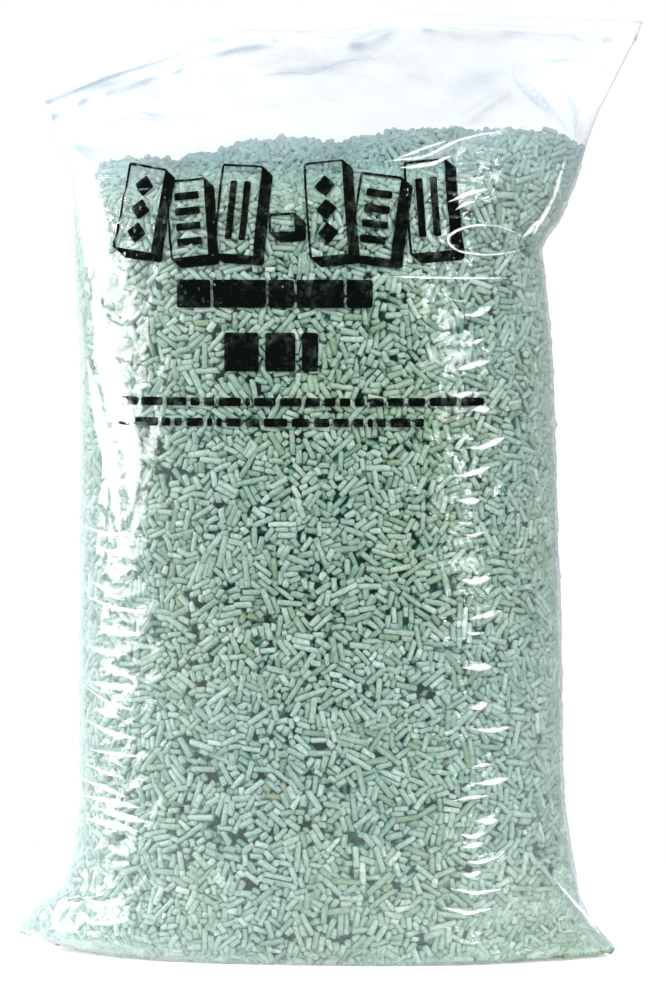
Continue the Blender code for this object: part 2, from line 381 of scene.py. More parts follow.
class Shader:
    """Builds one material's node tree."""

    def __init__(self, name):
        self.material = bpy.data.materials.new(name)
        self.material.use_nodes = True
        self.tree = self.material.node_tree
        self.tree.nodes.clear()

    def node(self, kind, settings=None, values=(), output=0):
        """Adds a node, sets it up, fills its inputs by order or by name, and returns one output."""
        made = self.tree.nodes.new(kind)
        for name, value in (settings or {}).items():
            if name == "stops":
                self.set_stops(made.color_ramp, value)
            else:
                setattr(made, name, value)
        pairs = values.items() if isinstance(values, dict) else enumerate(values)
        for key, value in pairs:
            if isinstance(value, Value):
                self.tree.links.new(value.socket, made.inputs[key])
            elif value is not None:
                made.inputs[key].default_value = value
        return Value(self, made.outputs[output]) if made.outputs else None

    @staticmethod
    def set_stops(ramp, stops):
        while len(ramp.elements) < len(stops):
            ramp.elements.new(0.5)
        for element, (place, colour) in zip(ramp.elements, stops):
            element.position = place
            element.color = (*colour, 1.0)

    def place(self, scale=(1, 1, 1)):
        """Object coordinates, scaled."""
        where = self.node("ShaderNodeTexCoord", output=3)
        return self.node("ShaderNodeMapping", {}, {"Vector": where, "Scale": scale})

    def part(self, where, axis):
        """One number of a place: 0 is x and 2 is z."""
        return self.node("ShaderNodeSeparateXYZ", {}, [where], output=axis)

    def distance(self, location=(0, 0, 0), scale=(1, 1, 1)):
        """How far a place is from the origin after it is scaled and moved."""
        values = {"Vector": self.node("ShaderNodeTexCoord", output=3)}
        values.update({"Location": location, "Scale": scale})
        moved = self.node("ShaderNodeMapping", {}, values)
        return self.node("ShaderNodeVectorMath", {"operation": "LENGTH"}, [moved], output=1)

    def clear(self, tint=(1.0, 1.0, 1.0)):
        return self.node("ShaderNodeBsdfTransparent", {}, {"Color": (*tint, 1.0)})

    def solid(self, colour, roughness, **values):
        """An opaque surface. Other inputs are named with _ for each space."""
        values = {name.replace("_", " "): value for name, value in values.items()}
        values.update({"Base Color": colour, "Roughness": roughness})
        return self.node("ShaderNodeBsdfPrincipled", {}, values)

    def noise(self, where, scale, detail=3.0, roughness=0.55):
        values = {"Vector": where, "Scale": scale, "Detail": detail, "Roughness": roughness}
        return self.node("ShaderNodeTexNoise", {}, values)

    def attribute(self, name):
        return self.node("ShaderNodeAttribute", {"attribute_name": name}, output=2)

    def between(self, value, low, high, bottom=0.0, top=1.0):
        values = {"Value": value, 1: low, 2: high, 3: bottom, 4: top}
        return self.node("ShaderNodeMapRange", {"clamp": True}, values)

    def mix_colours(self, factor, a, b, blend="MIX"):
        settings = {"data_type": "RGBA", "blend_type": blend}
        return self.node("ShaderNodeMix", settings, {0: factor, 6: a, 7: b}, output=2)

    def bump(self, height, distance, strength=1.0):
        values = {"Strength": strength, "Distance": distance, "Height": height}
        return self.node("ShaderNodeBump", {}, values)

    def mix_shaders(self, factor, a, b):
        return self.node("ShaderNodeMixShader", {}, [factor, a, b])

    def finish(self, surface):
        self.node("ShaderNodeOutputMaterial", {}, {"Surface": surface})
        return self.material


WHITE = (1.0, 1.0, 1.0, 1.0)
CLEAREST = ((-0.14, 0.0, -0.86), (4.6, 0.0, 1.9))  # moves the film's clearest spot to the origin
PELLET_TONES = [  # the colours of pellets, by their tone
    (0.00, (0.220, 0.215, 0.115)),
    (0.06, (0.195, 0.265, 0.185)),
    (0.30, (0.232, 0.325, 0.268)),
    (0.70, (0.325, 0.412, 0.358)),
    (1.00, (0.445, 0.515, 0.475)),
]
# painted shade: the dark teal of pellets lying deep in shade
CORE_SHADE_TONES = [(0.35, (0.030, 0.160, 0.125)), (0.70, (0.060, 0.240, 0.190))]


def film_material(settings):
    """Clear blown film: a glossy skin over what is behind it, hazier at the sides and base, with
    painted shade along its creases.
    """
    s = Shader("clear_film")
    where = s.place()
    scuff = s.noise(s.place((1.0, 1.0, 2.2)), 120.0, 4.0)
    fine = s.noise(where, 420.0, 2.0)
    normal = s.bump(scuff + 0.35 * fine, 0.0007, 0.5)
    rough = s.between(s.noise(where, 38.0, 3.0), 0.35, 0.7, 0.05, 0.16)
    values = {"Color": WHITE, "Roughness": rough, "Normal": normal}
    gloss = s.node("ShaderNodeBsdfGlossy", {}, values)
    facing = s.node("ShaderNodeLayerWeight", {}, {"Blend": 0.5, "Normal": normal}, output=1)
    mirror = s.between(facing**3.2, 0.0, 1.0, 0.018, 0.70)
    skin = s.mix_shaders(mirror, s.clear(settings.film_tint), gloss)
    # grey holds painted shade along the creases as well as the film's own grey at weld and edges
    grey = s.attribute("grey")
    up, over = s.part(where, 2), s.part(where, 0)
    milky = s.between(up, 0.640, 0.740)
    head = s.between(up, 0.684, 0.712) * s.between(over, -0.02, 0.12, 0.17, 0.02)
    white = s.mix_colours(milky, (0.74, 0.86, 0.90, 1.0), (0.90, 0.92, 0.95, 1.0))
    colour = s.mix_colours(grey, white, (0.36, 0.43, 0.50, 1.0))
    haze = s.node("ShaderNodeBsdfDiffuse", {}, {"Color": colour})
    cloud = s.between(s.noise(where, 9.0, 3.0), 0.35, 0.75, 0.6, 1.4)
    away = s.distance(*CLEAREST)
    side = s.between(away, 0.35, 1.25, 0.0, settings.side_haze)
    edge = s.between(facing**2.4, 0.0, 1.0, settings.film_haze, 0.24)
    veil = edge + side * cloud + grey * 0.36 + head
    return s.finish(s.mix_shaders(veil, skin, haze))


def pellet_material():
    """Pressed fibre: pale grey-green, a tone for each pellet, rough and crumbly, with painted shade
    on deeper pellets and on the heap's top.
    """
    s = Shader("pressed_fibre")
    where = s.place()
    base = s.node("ShaderNodeValToRGB", {"stops": PELLET_TONES}, [s.attribute("tone")])
    fibre = s.noise(where, 900.0, 3.0, 0.7)
    grain = s.noise(where, 260.0, 4.0, 0.65)
    dark = s.between(grain, 0.30, 0.62, 0.0, 1.0)
    colour = s.mix_colours(dark, (0.56, 0.68, 0.60, 1.0), (1.08, 1.06, 1.05, 1.0))
    colour = s.mix_colours(1.0, base, colour, "MULTIPLY")
    warm = s.between(s.noise(where, 7.0, 3.0), 0.46, 0.62)
    patch = s.mix_colours(warm, (0.97, 1.0, 1.01, 1.0), (0.99, 1.0, 0.92, 1.0))
    colour = s.mix_colours(1.0, colour, patch, "MULTIPLY")
    up, over = s.part(where, 2), s.part(where, 0)
    # painted shade on the heap's top, stronger towards the left
    painted_heap_shade = s.between(up, 0.655, 0.695) * s.between(over, -0.04, 0.12, 0.62, 0.36)
    colour = s.mix_colours(painted_heap_shade, colour, (0.12, 0.25, 0.31, 1.0))
    # painted shade: pellets lying deeper are drawn darker teal
    colour = s.mix_colours(s.attribute("sunk"), colour, (0.09, 0.30, 0.23, 1.0))
    normal = s.bump(grain + 0.5 * fibre, 0.0010, 0.8)
    return s.finish(s.solid(colour, 0.9, Specular_IOR_Level=0.25, Normal=normal))


def core_shade_material():
    """Painted shade: the pellets behind, drawn dark teal and lumpy."""
    s = Shader("deep_pellets_shade")
    lump = s.noise(s.place(), 140.0, 3.0)
    colour = s.node("ShaderNodeValToRGB", {"stops": CORE_SHADE_TONES}, [lump])
    return s.finish(s.solid(colour, 0.95, Normal=s.bump(lump, 0.004)))


def ink_material(settings):
    """Black ink, a little thin and worn in places."""
    s = Shader("black_ink")
    worn = s.between(s.noise(s.place(), 70.0, 5.0, 0.7), 0.38, 0.52, 0.72, 1.0)
    ink = s.solid((*settings.ink_colour, 1.0), 0.6, Specular_IOR_Level=0.0)
    return s.finish(s.mix_shaders(worn, s.clear(), ink))


def shade_material():
    """Painted shade: grey lines along the film's folds."""
    s = Shader("fold_shade")
    broken = s.between(s.noise(s.place(), 90.0, 4.0), 0.34, 0.60, 0.20, 0.52)
    grey = s.solid((0.42, 0.50, 0.57, 1.0), 0.5)
    return s.finish(s.mix_shaders(s.attribute("strength") * broken, s.clear(), grey))


def glint_material():
    """The bright line of light along a sharp fold of film."""
    s = Shader("fold_glint")
    broken = s.between(s.noise(s.place(), 210.0, 3.0), 0.34, 0.58, 0.35, 1.0)
    glow = {"Emission_Color": (0.95, 0.98, 1.0, 1.0), "Emission_Strength": 0.30}
    white = s.solid((0.96, 0.98, 1.0, 1.0), 0.25, **glow)
    return s.finish(s.mix_shaders(s.attribute("strength") * broken, s.clear(), white))


def floor_material():
    """A white sweep that fades into the white sky round it."""
    s = Shader("studio_floor")
    patch = s.noise(s.place(), 1.2, 2.0)
    grey = s.mix_colours(patch, (0.95, 0.955, 0.96, 1.0), (0.97, 0.975, 0.98, 1.0))
    glow = {"Emission_Color": WHITE, "Emission_Strength": 0.30}
    solid = s.solid(grey, 0.6, Specular_IOR_Level=0.1, **glow)
    return s.finish(s.mix_shaders(s.between(s.distance(), 0.35, 0.95), solid, s.clear()))


# ---------------------------------------------------------------- meshes


def add_piece(name, mesh, material, stands_for=(), smooth_angle=None):
    """Makes a mesh a piece of the bag: it rides on the bag and hides the model parts it stands for.
    """
    mesh.materials.clear()
    mesh.materials.append(material)
    mesh.shade_smooth()
    if smooth_angle:
        mesh.set_sharp_from_angle(angle=smooth_angle)
    piece = bpy.data.objects.new(name, mesh)
    bpy.context.scene.collection.objects.link(piece)
    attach(piece, "root")
    if stands_for:
        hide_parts(*stands_for)
    return piece


FRONT_COLUMNS = 190
BACK_COLUMNS = 96
TURN_SAMPLES = 1440


def even_turns(level):
    """The turns at one level that lie evenly along its outline, closer together on the front."""
    turn = np.linspace(0, 2 * math.pi, TURN_SAMPLES + 1)
    points = bag_points(turn, np.full(turn.shape, level))
    run = np.concatenate([[0], np.cumsum(np.linalg.norm(np.diff(points, axis=0), axis=1))])
    half = TURN_SAMPLES // 2
    front = np.interp(np.linspace(0, run[half], FRONT_COLUMNS + 1), run, turn)
    back = np.interp(np.linspace(run[half], run[-1], BACK_COLUMNS + 1), run, turn)
    return np.concatenate([front, back[1:]])


def film_levels():
    base = np.linspace(0, 0.054, 24)[:-1]
    body = np.linspace(0.054, SHOULDER, 176)[:-1]
    head = np.linspace(SHOULDER, WELD_LEVEL, 82)[:-1]
    strip = np.linspace(WELD_LEVEL, TOP_LEVEL, 6)
    return np.concatenate([base, body, head, strip])


def film_mesh():
    """A grid of faces wrapped into the bag, closed flat at its base and along its top weld."""
    levels = film_levels()
    columns = FRONT_COLUMNS + BACK_COLUMNS
    turn = np.stack([even_turns(level) for level in levels])
    grid = film_surface(turn, np.repeat(levels[:, None], columns + 1, 1))
    grid[:, -1] = grid[:, 0]
    grid[0, :, 2] = 0.0

    mesh = bmesh.new()
    bmesh.ops.create_grid(mesh, x_segments=columns, y_segments=len(levels) - 1, size=1.0)
    for vertex in mesh.verts:
        column = round((vertex.co.x + 1) / 2 * columns)
        row = round((vertex.co.y + 1) / 2 * (len(levels) - 1))
        vertex.co = grid[row, column]
    seam = [v for v in mesh.verts if len(v.link_faces) < 4]
    bmesh.ops.remove_doubles(mesh, verts=seam, dist=1e-6)
    weld = [v for v in mesh.verts if v.is_boundary and v.co.z > SHOULDER]
    edges = [e for e in mesh.edges if e.is_boundary and e.verts[0].co.z > SHOULDER]
    bmesh.ops.holes_fill(mesh, edges=edges, sides=len(weld) + 2)
    edges = [e for e in mesh.edges if e.is_boundary]
    bmesh.ops.contextual_create(mesh, geom=edges)
    bmesh.ops.triangulate(mesh, faces=[f for f in mesh.faces if len(f.verts) > 4])
    bmesh.ops.recalc_face_normals(mesh, faces=mesh.faces)
    lowest = min(mesh.faces, key=lambda f: f.calc_center_median().z)
    if lowest.normal.z > 0:
        bmesh.ops.reverse_faces(mesh, faces=mesh.faces)
    data = bpy.data.meshes.new("film")
    mesh.to_mesh(data)
    mesh.free()
    spots = np.array([v.co for v in data.vertices])
    data.attributes.new("grey", "FLOAT", "POINT").data.foreach_set("value", film_grey_and_painted_shade(spots))
    return data


# ---------------------------------------------------------------- pellets

PELLET_RADIUS = 0.00265
PELLET_CLEAR = 0.0005  # between a pellet and the film's smooth face
PELLET_PRESS = 0.00009  # how far each round of settling presses the pellets outwards
SLAB = 0.0140  # how deep the modelled pellets go behind the film
PELLET_LENGTHS = (0.0055, 0.027)  # over all, shortest and longest
SHORTEST_ROD = 0.0016  # a rod is a pellet's length less its two ends
TOP_SHARE = 0.13  # of the pellets that start on the heap
BASE_SHARE = 0.05  # of the pellets that start beside the base
TILTED_SHARE = 0.16  # of the pellets that start at any angle, not flat against the film
INNER_DEPTH = 0.0056  # pellets deeper than this are plain
FRONT_LIMIT = 0.02  # pellets beyond this y are plain, as the back is
BROWN_SHARE, BROWN_TONE = 0.004, 0.03
SETTLE_SEARCH = 12  # rounds between searches for neighbours
LOWEST = 0.0005  # no pellet goes below this height
HEAP_PROFILE = [  # the heap's crest, left to right
    (-0.225, 0.620),
    (-0.205, 0.655),
    (-0.185, 0.684),
    (-0.158, 0.689),
    (-0.125, 0.683),
    (-0.098, 0.692),
    (-0.060, 0.700),
    (-0.017, 0.704),
    (0.022, 0.699),
    (0.055, 0.708),
    (0.085, 0.712),
    (0.150, 0.712),
    (0.200, 0.712),
    (0.240, 0.700),
]


def heap_height(x, y):
    crest = np.interp(x, *zip(*HEAP_PROFILE))
    spot = np.stack([x, y, np.zeros_like(x)], -1)
    rough = 0.0035 * waves(spot, 0.050, 81) + 0.0022 * waves(spot, 0.011, 82)
    return crest + rough - 0.5 * np.clip(np.abs(y) - 0.055, 0, None)


def near_pairs(places, reach):
    """Index pairs of places that may be within reach of each other, from a grid of cells."""
    cells = np.floor(places / reach).astype(np.int64)
    cells -= cells.min(0) - 1
    size = cells.max(0) + 2
    key = (cells[:, 0] * size[1] + cells[:, 1]) * size[2] + cells[:, 2]
    order = np.argsort(key, kind="stable")
    ranked = key[order]
    found = []
    steps = [(x, y, z) for x in (-1, 0, 1) for y in (-1, 0, 1) for z in (-1, 0, 1)]
    for step in steps[13:]:
        shift = (step[0] * size[1] + step[1]) * size[2] + step[2]
        start = np.searchsorted(ranked, key + shift, "left")
        count = np.searchsorted(ranked, key + shift, "right") - start
        first = np.repeat(np.arange(len(key)), count)
        nth = np.arange(count.sum()) - np.repeat(np.cumsum(count) - count, count)
        second = order[np.repeat(start, count) + nth]
        if shift == 0:
            first, second = first[first < second], second[first < second]
        gap = np.linalg.norm(places[first] - places[second], axis=1)
        close = gap < reach
        found.append(np.stack([first[close], second[close]]))
    return np.concatenate(found, axis=1)


def closest_on_rods(a0, a1, b0, b1):
    """For each pair of segments, the shares along both at which they are closest."""
    da, db, between = a1 - a0, b1 - b0, a0 - b0
    a = np.einsum("ij,ij->i", da, da)
    e = np.einsum("ij,ij->i", db, db)
    f = np.einsum("ij,ij->i", db, between)
    b = np.einsum("ij,ij->i", da, db)
    c = np.einsum("ij,ij->i", da, between)
    spread = np.maximum(a * e - b * b, 1e-12)
    s = np.clip((b * f - c * e) / spread, 0, 1)
    t = np.clip((b * s + f) / e, 0, 1)
    s = np.clip((b * t - c) / a, 0, 1)
    return s, t


def keep_in(ends):
    """Moves rod ends inside the film, under the heap's top and out of the core."""
    flat = ends.reshape(-1, 3)
    out, normal = outside(flat)
    clear = PELLET_CLEAR + 0.0008 * (1 + waves(flat, 0.016, 83, 8))
    over_film = out + PELLET_RADIUS + clear
    moved = flat - normal * np.clip(over_film, 0, 0.02)[:, None]
    above = flat[:, 2] + PELLET_RADIUS - heap_height(flat[:, 0], flat[:, 1])
    moved[:, 2] -= 0.6 * np.clip(above, 0, 0.02)
    top_deep = -(above - 2 * PELLET_RADIUS)
    film_deep = -over_film
    deep = np.minimum(film_deep, top_deep) - SLAB
    lift = np.clip(deep, 0, 0.01) * 0.5 + PELLET_PRESS
    to_film = film_deep <= top_deep
    moved += normal * (lift * to_film)[:, None]
    moved[:, 2] += lift * ~to_film
    moved[:, 2] -= PELLET_PRESS * (0.25 + (flat[:, 2] < 0.030))
    moved[:, 2] = np.maximum(moved[:, 2], PELLET_RADIUS + 0.0008)
    return moved.reshape(ends.shape)


def scattered_rods(count, draws):
    """First places of the rods: over the film's inside and the heap's top, in random directions."""
    lengths = np.clip(draws.gamma(4.6, 0.0027, count), *PELLET_LENGTHS) - 2 * PELLET_RADIUS
    lengths = np.maximum(lengths, SHORTEST_ROD)
    level = draws.uniform(0.003, 0.705, count)
    at_base = draws.random(count) < BASE_SHARE
    level[at_base] = draws.uniform(0.003, 0.050, at_base.sum())
    turn = draws.uniform(0, 2 * math.pi, count)
    run = np.linspace(0, 2 * math.pi, 721)
    outline = bag_points(run, np.full(run.shape, 0.3))
    along = np.concatenate([[0], np.cumsum(np.linalg.norm(np.diff(outline, axis=0), axis=1))])
    turn = np.interp(draws.uniform(0, along[-1], count), along, run)
    middle = bag_points(turn, level)
    on_top = draws.random(count) < TOP_SHARE
    inner = np.sqrt(draws.random(count))
    middle[on_top, :2] *= inner[on_top, None]
    _, normal = outside(middle)
    deep = draws.uniform(PELLET_RADIUS, SLAB, count)
    middle -= normal * (deep * ~on_top)[:, None]
    top = heap_height(middle[:, 0], middle[:, 1])
    high = on_top | (middle[:, 2] > top)
    middle[high, 2] = (top - deep)[high]
    way = draws.normal(size=(count, 3))
    flatten = draws.uniform(0.0, 1.0, count) > TILTED_SHARE
    upright = np.where(on_top[:, None], np.array([0.0, 0.0, 1.0]), normal)
    lean = np.einsum("ij,ij->i", way, upright)
    way -= upright * (lean * flatten * 0.86)[:, None]
    way /= np.linalg.norm(way, axis=1, keepdims=True)
    half = way * (lengths / 2)[:, None]
    return np.stack([middle - half, middle + half], 1), lengths


def settle(ends, lengths, rounds):
    """Pushes overlapping rods apart, and keeps them in their slab, until they lie packed."""
    count = len(ends)
    diameter = 2 * PELLET_RADIUS
    for turn in range(rounds):
        if turn % SETTLE_SEARCH == 0:
            middles = ends.mean(1)
            pairs = near_pairs(middles, lengths.max() * 0.72 + diameter)
            reach = (lengths[pairs[0]] + lengths[pairs[1]]) / 2 + diameter * 1.4
            gap = np.linalg.norm(middles[pairs[0]] - middles[pairs[1]], axis=1)
            pairs = pairs[:, gap < reach]
        i, j = pairs
        s, t = closest_on_rods(ends[i, 0], ends[i, 1], ends[j, 0], ends[j, 1])
        at_i = ends[i, 0] * (1 - s)[:, None] + ends[i, 1] * s[:, None]
        at_j = ends[j, 0] * (1 - t)[:, None] + ends[j, 1] * t[:, None]
        apart = at_i - at_j
        gap = np.maximum(np.linalg.norm(apart, axis=1), 1e-6)
        hit = gap < diameter
        i, j, s, t = i[hit], j[hit], s[hit], t[hit]
        push = apart[hit] / gap[hit, None]
        depth = diameter - gap[hit]
        share = depth / ((1 - s) ** 2 + s**2 + (1 - t) ** 2 + t**2)
        index = np.concatenate([2 * i, 2 * i + 1, 2 * j, 2 * j + 1])
        weight = np.concatenate([(1 - s) * share, s * share, -(1 - t) * share, -t * share])
        ways = np.tile(push, (4, 1))
        number = np.maximum(np.bincount(index, minlength=2 * count), 1) ** 0.7
        for axis in range(3):
            moved = np.bincount(index, weight * ways[:, axis], 2 * count) / number
            ends[..., axis] += moved.reshape(count, 2)
        ends = keep_in(ends)
        middle = ends.mean(1)
        way = ends[:, 1] - ends[:, 0]
        way /= np.maximum(np.linalg.norm(way, axis=1, keepdims=True), 1e-9)
        half = way * (lengths / 2)[:, None]
        ends = np.stack([middle - half, middle + half], 1)
    ends[..., 2] += np.clip(1.25 * PELLET_RADIUS - ends[..., 2].min(1), 0, None)[:, None]
    return ends


def pellet_shape(draws, sides, detailed):
    """One pellet along Z with broken ends: its points, from -1 to 1, and its triangles."""
    mesh = bmesh.new()
    bmesh.ops.create_cone(mesh, cap_ends=True, segments=sides, radius1=1.0, radius2=1.0, depth=2.0)
    if detailed:
        caps = [f for f in mesh.faces if len(f.verts) == sides]
        bmesh.ops.inset_individual(mesh, faces=caps, thickness=0.20)
    tilt = {side: Vector(draws.normal(0, 0.20, 2)) for side in (-1, 1)}
    for vertex in mesh.verts:
        side = 1 if vertex.co.z > 0 else -1
        spot = vertex.co.xy
        size = 1 + draws.normal(0, 0.035)
        vertex.co.xy = spot * size
        vertex.co.z = side * (1 + spot.dot(tilt[side]) * 0.8 + draws.normal(0, 0.05))
        if detailed and spot.length < 0.9:
            vertex.co.z += side * 0.10
        elif detailed:
            vertex.co.z -= side * 0.07
    bmesh.ops.triangulate(mesh, faces=mesh.faces)
    bmesh.ops.recalc_face_normals(mesh, faces=mesh.faces)
    places = np.array([v.co for v in mesh.verts])
    faces = np.array([[v.index for v in f.verts] for f in mesh.faces])
    mesh.free()
    return places, faces


def depth_in(points):
    """How deep points lie under the film and the heap's top."""
    out, _ = outside(points)
    return np.minimum(-out, heap_height(points[:, 0], points[:, 1]) - points[:, 2])


def gather_pellets(name, ends, widths, tones, shapes, draws):
    """One mesh with a copy of some shape along each rod."""
    # painted shade: how deep each pellet end lies under the film, which darkens its colour
    sunk = rise_between(depth_in(ends.reshape(-1, 3)), 0.0045, 0.0125).reshape(-1, 2)
    kinds = draws.integers(0, len(shapes), len(ends))
    spins = draws.uniform(0, 2 * math.pi, len(ends))
    all_places, all_faces, all_tones, all_depth_shade = [], [], [], []
    start = 0
    for kind, (places, faces) in enumerate(shapes):
        mine = np.flatnonzero(kinds == kind)
        axis = ends[mine, 1] - ends[mine, 0]
        long = np.linalg.norm(axis, axis=1, keepdims=True)
        axis = axis / np.maximum(long, 1e-9)
        helper = np.where(np.abs(axis[:, 2:3]) < 0.9, [[0.0, 0.0, 1.0]], [[1.0, 0.0, 0.0]])
        side = np.cross(helper, axis)
        side /= np.linalg.norm(side, axis=1, keepdims=True)
        other = np.cross(axis, side)
        spin = spins[mine, None]
        across = side * np.cos(spin) + other * np.sin(spin)
        over = other * np.cos(spin) - side * np.sin(spin)
        width = widths[mine, None, None]
        reach = (long / 2)[:, :, None] + width * 0.86
        x, y, z = places.T[:, None, :, None]
        along = np.sign(z) * reach + (z - np.sign(z)) * width
        spots = ends[mine].mean(1)[:, None] + axis[:, None] * along
        spots += (across[:, None] * x + over[:, None] * y) * width
        spots[..., 2] = np.maximum(spots[..., 2], LOWEST)
        all_places.append(spots.reshape(-1, 3))
        offsets = start + np.arange(len(mine))[:, None, None] * len(places)
        all_faces.append((faces[None] + offsets).reshape(-1, 3))
        all_tones.append(np.repeat(tones[mine], len(places)))
        all_depth_shade.append(sunk[mine][:, (places[:, 2] > 0).astype(int)].ravel())
        start += len(mine) * len(places)
    values = {"tone": np.concatenate(all_tones), "sunk": np.concatenate(all_depth_shade)}
    return mesh_of(name, np.concatenate(all_places), np.concatenate(all_faces), **values)


def mesh_of(name, places, faces, **values):
    """A mesh of triangles, with named values at its points."""
    data = bpy.data.meshes.new(name)
    data.vertices.add(len(places))
    data.vertices.foreach_set("co", places.astype(np.float32).ravel())
    data.loops.add(faces.size)
    data.loops.foreach_set("vertex_index", faces.astype(np.int32).ravel())
    data.polygons.add(len(faces))
    data.polygons.foreach_set("loop_start", np.arange(0, faces.size, 3, dtype=np.int32))
    for label, numbers in values.items():
        made = data.attributes.new(label, "FLOAT", "POINT")
        made.data.foreach_set("value", numbers.astype(np.float32))
    data.update(calc_edges=True)
    return data


CORE_COLUMNS = 96
CORE_ROWS = 60
CORE_GAP = 0.002  # between the modelled pellets and the core
CORE_LEVELS = (0.012, 0.690)
CORE_REACH = (-0.190, 0.200)  # in x: the ears hold no core


def core_mesh():
    """A plain body inside the bag, a slab's depth behind its face and under the heap's top."""
    turn = np.linspace(0, 2 * math.pi, CORE_COLUMNS, endpoint=False)
    mesh = bmesh.new()
    made = bmesh.ops.create_circle(mesh, cap_ends=True, segments=CORE_COLUMNS, radius=1.0)
    rim = made["verts"]
    deep = SLAB + CORE_GAP
    levels = np.linspace(*CORE_LEVELS, CORE_ROWS)
    for k, level in enumerate(levels):
        points = bag_points(turn, np.full(turn.shape, level))
        _, normal = outside(points)
        points = points - normal * deep
        points[:, 0] = np.clip(points[:, 0], *CORE_REACH)
        roof = heap_height(points[:, 0], points[:, 1]) - deep
        points[:, 2] = np.minimum(np.maximum(points[:, 2], level), roof)
        if k:
            edges = [mesh.edges.get(pair) for pair in zip(rim, rim[1:] + rim[:1])]
            new = set(bmesh.ops.extrude_edge_only(mesh, edges=edges)["geom"])
            paths = [[e.other_vert(v) for e in v.link_edges] for v in rim]
            rim = [next(v for v in path if v in new) for path in paths]
        for vertex, spot in zip(rim, points):
            vertex.co = spot
    bmesh.ops.contextual_create(mesh, geom=rim)
    bmesh.ops.recalc_face_normals(mesh, faces=mesh.faces)
    data = bpy.data.meshes.new("core")
    mesh.to_mesh(data)
    mesh.free()
    return data


# ---------------------------------------------------------------- print

PRINT_OUT = 0.0002  # the ink is on the outer side
PRINT_CELL = 0.004


def leant(cx, cz, x, z, lean):
    """A point given from a centre, turned about it by a lean in degrees."""
    c, s = math.cos(math.radians(lean)), math.sin(math.radians(lean))
    return cx + x * c - z * s, cz + x * s + z * c


def rounded_block(cx, cz, width, height, lean, corner, steps=4):
    """The outline of a leaning rounded block."""
    points = []
    for sx, sz, start in ((1, 1, 0), (-1, 1, 90), (-1, -1, 180), (1, -1, 270)):
        for k in range(steps + 1):
            angle = math.radians(start + 90 * k / steps)
            x = sx * (width / 2 - corner) + corner * math.cos(angle)
            z = sz * (height / 2 - corner) + corner * math.sin(angle)
            points.append(leant(cx, cz, x, z, lean))
    return points


def inked(outline, inside=None):
    """A flat inked shape, hollow where an inside outline is given."""
    mesh = bmesh.new()
    outer = [mesh.verts.new((x, 0, z)) for x, z in outline]
    if inside is None:
        mesh.faces.new(outer)
    else:
        inner = [mesh.verts.new((x, 0, z)) for x, z in inside]
        count = len(outer)
        for k in range(count):
            n = (k + 1) % count
            mesh.faces.new([outer[k], outer[n], inner[n], inner[k]])
    return mesh


def shrunk(outline, by):
    """An outline moved inwards by a distance."""
    points = np.array(outline)
    before, after = np.roll(points, 1, 0), np.roll(points, -1, 0)
    way = after - before
    way /= np.maximum(np.linalg.norm(way, axis=1, keepdims=True), 1e-9)
    inward = np.stack([-way[:, 1], way[:, 0]], 1)
    return [tuple(p) for p in points + inward * by]


def drop_shadow(outline, shift):
    """The band that an outline sweeps when it moves by a shift, without the shape itself."""
    mesh = bmesh.new()
    points = [Vector(p) for p in outline]
    shift = Vector(shift)
    for a, b in zip(points, points[1:] + points[:1]):
        along = b - a
        outward = Vector((along.y, -along.x))
        if outward.dot(shift) > 0:
            corners = (a, b, b + shift, a + shift)
            mesh.faces.new([mesh.verts.new((p.x, 0, p.y)) for p in corners])
    return mesh


STRIPES = [(0, k * 0.013, 0.022, 0.0065, 0) for k in (-1.5, -0.5, 0.5, 1.5)]
DIAMONDS = [(0, k * 0.020, 0.013, 0.013, 45) for k in (-1, 0, 1)]
SLABS = [(-0.006, 0, 0.006, 0.050, 0), (0.006, 0, 0.006, 0.050, 0)]
BLOCKS = [  # centre x and z, width, height, lean in degrees, marks inside
    (-0.143, 0.646, 0.037, 0.074, -8, DIAMONDS),
    (-0.099, 0.638, 0.036, 0.068, 6, STRIPES),
    (-0.055, 0.645, 0.037, 0.078, -4, SLABS),
    (-0.016, 0.634, 0.024, 0.018, 3, []),
    (0.021, 0.646, 0.035, 0.082, 6, DIAMONDS),
    (0.063, 0.640, 0.037, 0.072, -7, STRIPES),
    (0.106, 0.648, 0.036, 0.080, 5, SLABS),
]
BLOCK_CORNER = 0.003
BLOCK_LINE = 0.0020
BLOCK_SHADOW = (0.0080, -0.0066)
BAR_ROWS = [  # left x, centre z, height, gap between bars, the bars' widths
    (-0.108, 0.5745, 0.024, 0.0022, (0.030, 0.046, 0.022, 0.040, 0.022)),
    (-0.066, 0.5250, 0.033, 0.0055, (0.030, 0.026, 0.014)),
]
DASH_ROWS = [(-0.160, 0.146, 0.4825), (-0.166, 0.106, 0.4650)]  # left x, right x, centre z
DASH_HEIGHT = 0.0072
DASH_GAP = 0.0036
DASH_WIDTHS = (0.004, 0.022)


